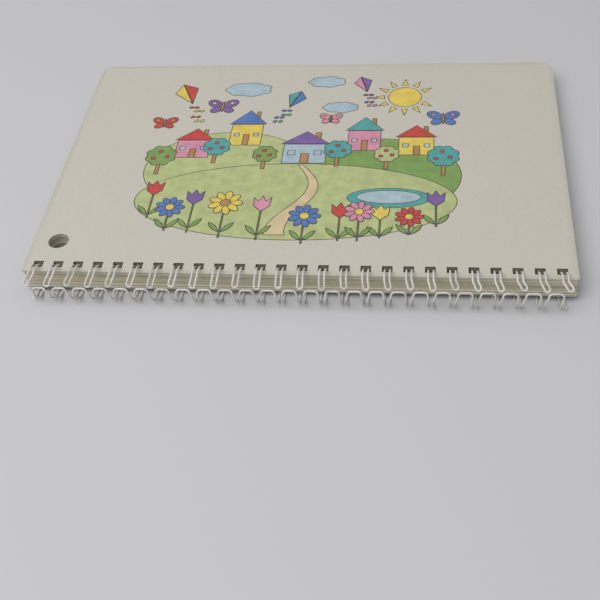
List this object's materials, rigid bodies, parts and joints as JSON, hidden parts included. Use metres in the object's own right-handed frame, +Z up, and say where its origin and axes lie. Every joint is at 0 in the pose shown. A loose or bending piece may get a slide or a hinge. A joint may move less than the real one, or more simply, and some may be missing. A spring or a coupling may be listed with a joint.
{
  "type": "wire-bound book",
  "caption": "Closed book of punched paper leaves between card covers, turning on a white twin-loop binding wire along the long edge, with a round hang hole by the head",
  "frame": {"origin": "middle of the bottom of the closed book's box, on the table", "axes": "+X along the spine from the head of the pages to their foot, +Y from the spine to the fore edge, +Z up out of the front cover"},
  "size_m": [0.224, 0.1568, 0.0143],
  "materials": {
    "cover_card": "uncoated cream card, printed on the front, soft matt",
    "leaf_paper": "uncoated paper with yellowed edges",
    "coated_wire": "steel wire in a white nylon coat, glossy"
  },
  "bodies": {
    "back_cover": {"back_cover": "cover_card"},
    "front_cover": {"front_cover": "cover_card"},
    "binding_wire": {"binding_wire": "coated_wire"},
    "leaf_01": {"leaf_01": "leaf_paper"},
    "leaf_02": {"leaf_02": "leaf_paper"},
    "leaf_03": {"leaf_03": "leaf_paper"},
    "leaf_04": {"leaf_04": "leaf_paper"},
    "leaf_05": {"leaf_05": "leaf_paper"},
    "leaf_06": {"leaf_06": "leaf_paper"},
    "leaf_07": {"leaf_07": "leaf_paper"},
    "leaf_08": {"leaf_08": "leaf_paper"},
    "leaf_09": {"leaf_09": "leaf_paper"},
    "leaf_10": {"leaf_10": "leaf_paper"},
    "leaf_11": {"leaf_11": "leaf_paper"},
    "leaf_12": {"leaf_12": "leaf_paper"},
    "leaf_13": {"leaf_13": "leaf_paper"},
    "leaf_14": {"leaf_14": "leaf_paper"},
    "leaf_15": {"leaf_15": "leaf_paper"},
    "leaf_16": {"leaf_16": "leaf_paper"},
    "leaf_17": {"leaf_17": "leaf_paper"},
    "leaf_18": {"leaf_18": "leaf_paper"}
  },
  "joints": [
    {"name": "front_cover_turn", "type": "hinge", "parent": "back_cover", "child": "front_cover", "pos_m": [0, -0.07126, 0.00715], "axis": [1, 0, 0], "range_deg": [0, 182.19]},
    {"name": "wire_roll", "type": "hinge", "parent": "back_cover", "child": "binding_wire", "pos_m": [0, -0.07126, 0.00715], "axis": [1, 0, 0], "range_deg": [0, 182.19]},
    {"name": "leaf_01_turn", "type": "hinge", "parent": "back_cover", "child": "leaf_01", "pos_m": [0, -0.07126, 0.00715], "axis": [1, 0, 0], "range_deg": [0, 182.19]},
    {"name": "leaf_02_turn", "type": "hinge", "parent": "back_cover", "child": "leaf_02", "pos_m": [0, -0.07126, 0.00715], "axis": [1, 0, 0], "range_deg": [0, 182.19]},
    {"name": "leaf_03_turn", "type": "hinge", "parent": "back_cover", "child": "leaf_03", "pos_m": [0, -0.07126, 0.00715], "axis": [1, 0, 0], "range_deg": [0, 182.19]},
    {"name": "leaf_04_turn", "type": "hinge", "parent": "back_cover", "child": "leaf_04", "pos_m": [0, -0.07126, 0.00715], "axis": [1, 0, 0], "range_deg": [0, 182.19]},
    {"name": "leaf_05_turn", "type": "hinge", "parent": "back_cover", "child": "leaf_05", "pos_m": [0, -0.07126, 0.00715], "axis": [1, 0, 0], "range_deg": [0, 182.19]},
    {"name": "leaf_06_turn", "type": "hinge", "parent": "back_cover", "child": "leaf_06", "pos_m": [0, -0.07126, 0.00715], "axis": [1, 0, 0], "range_deg": [0, 182.19]},
    {"name": "leaf_07_turn", "type": "hinge", "parent": "back_cover", "child": "leaf_07", "pos_m": [0, -0.07126, 0.00715], "axis": [1, 0, 0], "range_deg": [0, 182.19]},
    {"name": "leaf_08_turn", "type": "hinge", "parent": "back_cover", "child": "leaf_08", "pos_m": [0, -0.07126, 0.00715], "axis": [1, 0, 0], "range_deg": [0, 182.19]},
    {"name": "leaf_09_turn", "type": "hinge", "parent": "back_cover", "child": "leaf_09", "pos_m": [0, -0.07126, 0.00715], "axis": [1, 0, 0], "range_deg": [0, 182.19]},
    {"name": "leaf_10_turn", "type": "hinge", "parent": "back_cover", "child": "leaf_10", "pos_m": [0, -0.07126, 0.00715], "axis": [1, 0, 0], "range_deg": [0, 182.19]},
    {"name": "leaf_11_turn", "type": "hinge", "parent": "back_cover", "child": "leaf_11", "pos_m": [0, -0.07126, 0.00715], "axis": [1, 0, 0], "range_deg": [0, 182.19]},
    {"name": "leaf_12_turn", "type": "hinge", "parent": "back_cover", "child": "leaf_12", "pos_m": [0, -0.07126, 0.00715], "axis": [1, 0, 0], "range_deg": [0, 182.19]},
    {"name": "leaf_13_turn", "type": "hinge", "parent": "back_cover", "child": "leaf_13", "pos_m": [0, -0.07126, 0.00715], "axis": [1, 0, 0], "range_deg": [0, 182.19]},
    {"name": "leaf_14_turn", "type": "hinge", "parent": "back_cover", "child": "leaf_14", "pos_m": [0, -0.07126, 0.00715], "axis": [1, 0, 0], "range_deg": [0, 182.19]},
    {"name": "leaf_15_turn", "type": "hinge", "parent": "back_cover", "child": "leaf_15", "pos_m": [0, -0.07126, 0.00715], "axis": [1, 0, 0], "range_deg": [0, 182.19]},
    {"name": "leaf_16_turn", "type": "hinge", "parent": "back_cover", "child": "leaf_16", "pos_m": [0, -0.07126, 0.00715], "axis": [1, 0, 0], "range_deg": [0, 182.19]},
    {"name": "leaf_17_turn", "type": "hinge", "parent": "back_cover", "child": "leaf_17", "pos_m": [0, -0.07126, 0.00715], "axis": [1, 0, 0], "range_deg": [0, 182.19]},
    {"name": "leaf_18_turn", "type": "hinge", "parent": "back_cover", "child": "leaf_18", "pos_m": [0, -0.07126, 0.00715], "axis": [1, 0, 0], "range_deg": [0, 182.19]}
  ],
  "couplings": [
    {"joint": "wire_roll", "follows": "front_cover_turn", "ratio": 0.678},
    {"joint": "leaf_01_turn", "follows": "front_cover_turn", "ratio": 0.99685},
    {"joint": "leaf_02_turn", "follows": "front_cover_turn", "ratio": 0.9911},
    {"joint": "leaf_03_turn", "follows": "front_cover_turn", "ratio": 0.98364},
    {"joint": "leaf_04_turn", "follows": "front_cover_turn", "ratio": 0.97481},
    {"joint": "leaf_05_turn", "follows": "front_cover_turn", "ratio": 0.9648},
    {"joint": "leaf_06_turn", "follows": "front_cover_turn", "ratio": 0.95373},
    {"joint": "leaf_07_turn", "follows": "front_cover_turn", "ratio": 0.9417},
    {"joint": "leaf_08_turn", "follows": "front_cover_turn", "ratio": 0.92877},
    {"joint": "leaf_09_turn", "follows": "front_cover_turn", "ratio": 0.915},
    {"joint": "leaf_10_turn", "follows": "front_cover_turn", "ratio": 0.085},
    {"joint": "leaf_11_turn", "follows": "front_cover_turn", "ratio": 0.07123},
    {"joint": "leaf_12_turn", "follows": "front_cover_turn", "ratio": 0.0583},
    {"joint": "leaf_13_turn", "follows": "front_cover_turn", "ratio": 0.04627},
    {"joint": "leaf_14_turn", "follows": "front_cover_turn", "ratio": 0.0352},
    {"joint": "leaf_15_turn", "follows": "front_cover_turn", "ratio": 0.02519},
    {"joint": "leaf_16_turn", "follows": "front_cover_turn", "ratio": 0.01636},
    {"joint": "leaf_17_turn", "follows": "front_cover_turn", "ratio": 0.0089},
    {"joint": "leaf_18_turn", "follows": "front_cover_turn", "ratio": 0.00315}
  ]
}
